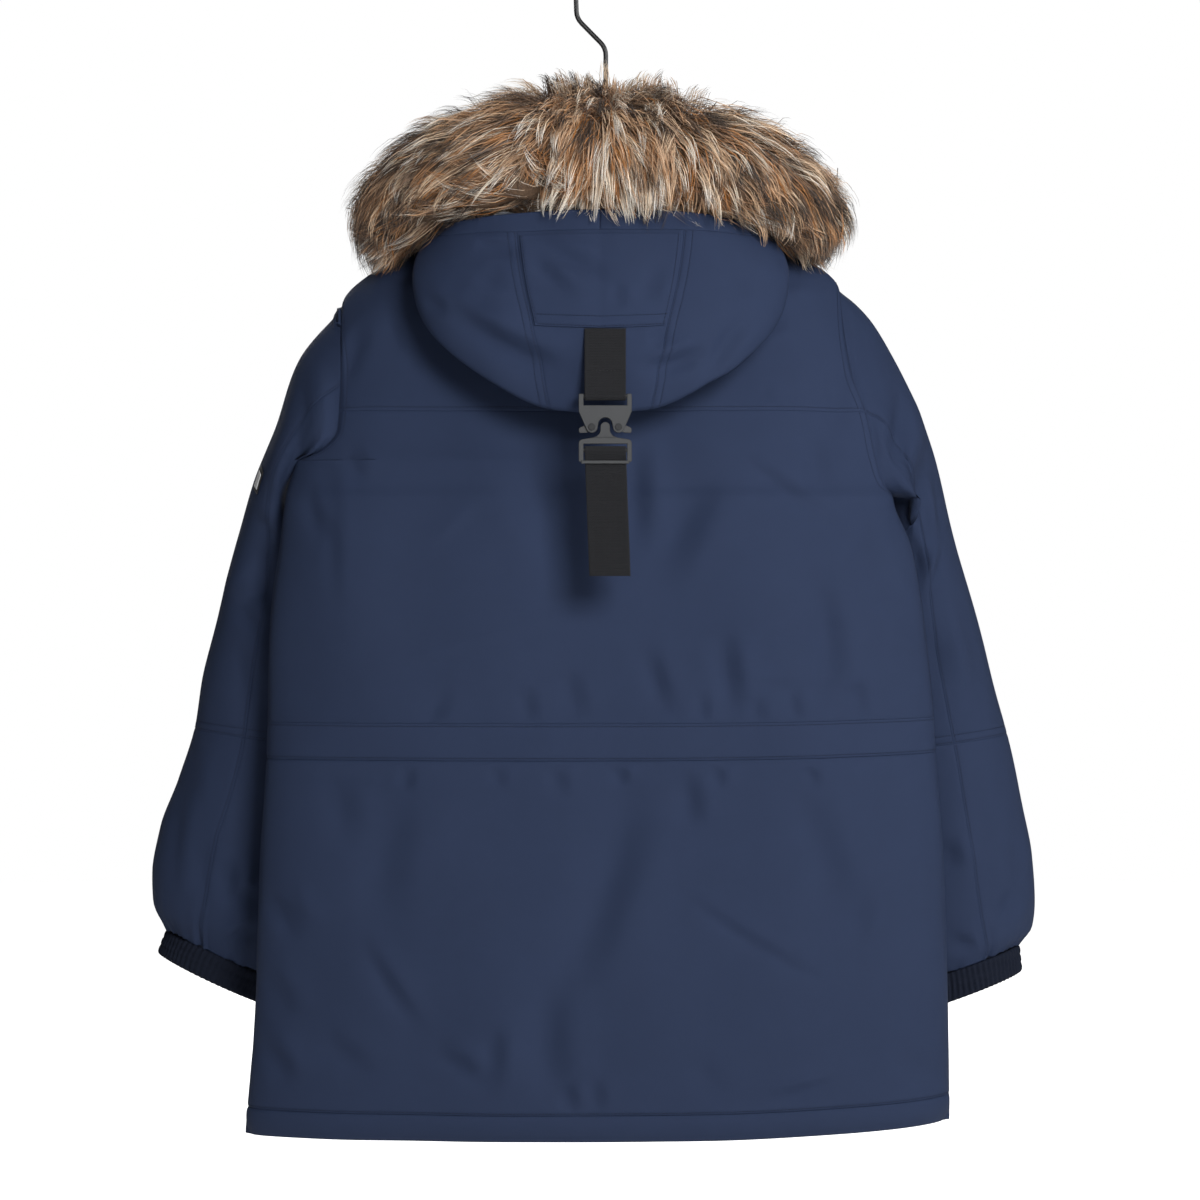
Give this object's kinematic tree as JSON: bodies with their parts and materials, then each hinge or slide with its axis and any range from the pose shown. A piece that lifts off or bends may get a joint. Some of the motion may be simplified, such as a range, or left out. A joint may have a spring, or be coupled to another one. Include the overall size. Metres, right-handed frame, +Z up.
{
  "type": "fur trimmed hooded parka on a coat hanger",
  "caption": "Padded hooded parka with a fur trimmed hood, back strap with a side-release buckle, gathered cuffs and a front zip, hanging closed on a hanger with a wire hook.",
  "frame": {"origin": "top of the inside of the hanger's hook, where a rail carries it", "axes": "+Z up, +X towards the wearer's left, +Y towards the back of the coat, so the zip faces -Y"},
  "size_m": [0.869, 0.3148, 1.125],
  "materials": {
    "shell_cloth": "matte dark navy plain weave",
    "fur": "long brown and cream fur",
    "webbing": "black ribbed webbing",
    "buckle_metal": "matte dark grey coating",
    "lever_metal": "satin grey",
    "badge": "plain matte, blank",
    "zip_tape": "matte navy tape",
    "zip_chain": "dark moulded teeth",
    "zip_metal": "matte dark grey coating",
    "hanger_plastic": "satin black",
    "hook_wire": "black coated wire"
  },
  "bodies": {
    "coat": {"back_hem_band": "shell_cloth", "back_panel": "shell_cloth", "back_skirt": "shell_cloth", "back_waist_casing": "shell_cloth", "back_yoke": "shell_cloth", "buckle_lever_left": "lever_metal", "buckle_lever_right": "lever_metal", "buckle_receiver": "buckle_metal", "buckle_rivet_left": "buckle_metal", "buckle_rivet_right": "buckle_metal", "buckle_tongue": "buckle_metal", "cuff_left": "shell_cloth", "cuff_right": "shell_cloth", "front_hem_band_left": "shell_cloth", "front_hem_band_right": "shell_cloth", "front_left": "shell_cloth", "front_right": "shell_cloth", "fur_trim": "fur", "hanger_body": "hanger_plastic", "hanger_hook": "hook_wire", "hood_band_left": "shell_cloth", "hood_band_right": "shell_cloth", "hood_centre": "shell_cloth", "hood_left": "shell_cloth", "hood_patch": "shell_cloth", "hood_right": "shell_cloth", "sleeve_badge": "badge", "sleeve_lower_left": "shell_cloth", "sleeve_lower_right": "shell_cloth", "sleeve_under_lower_left": "shell_cloth", "sleeve_under_lower_right": "shell_cloth", "sleeve_under_upper_left": "shell_cloth", "sleeve_under_upper_right": "shell_cloth", "sleeve_upper_left": "shell_cloth", "sleeve_upper_right": "shell_cloth", "strap_lower": "webbing", "strap_upper": "webbing", "zip_chain": "zip_chain", "zip_slider": "zip_metal", "zip_tape_left": "zip_tape", "zip_tape_right": "zip_tape"},
    "pull_tab": {"zip_pull_tab": "zip_metal"}
  },
  "joints": [
    {"name": "pull_tab_hinge", "type": "hinge", "parent": "coat", "child": "pull_tab", "pos_m": [0.0055, -0.08345, -0.24696], "axis": [-1, 0, 0], "range_deg": [0, 150]}
  ]
}
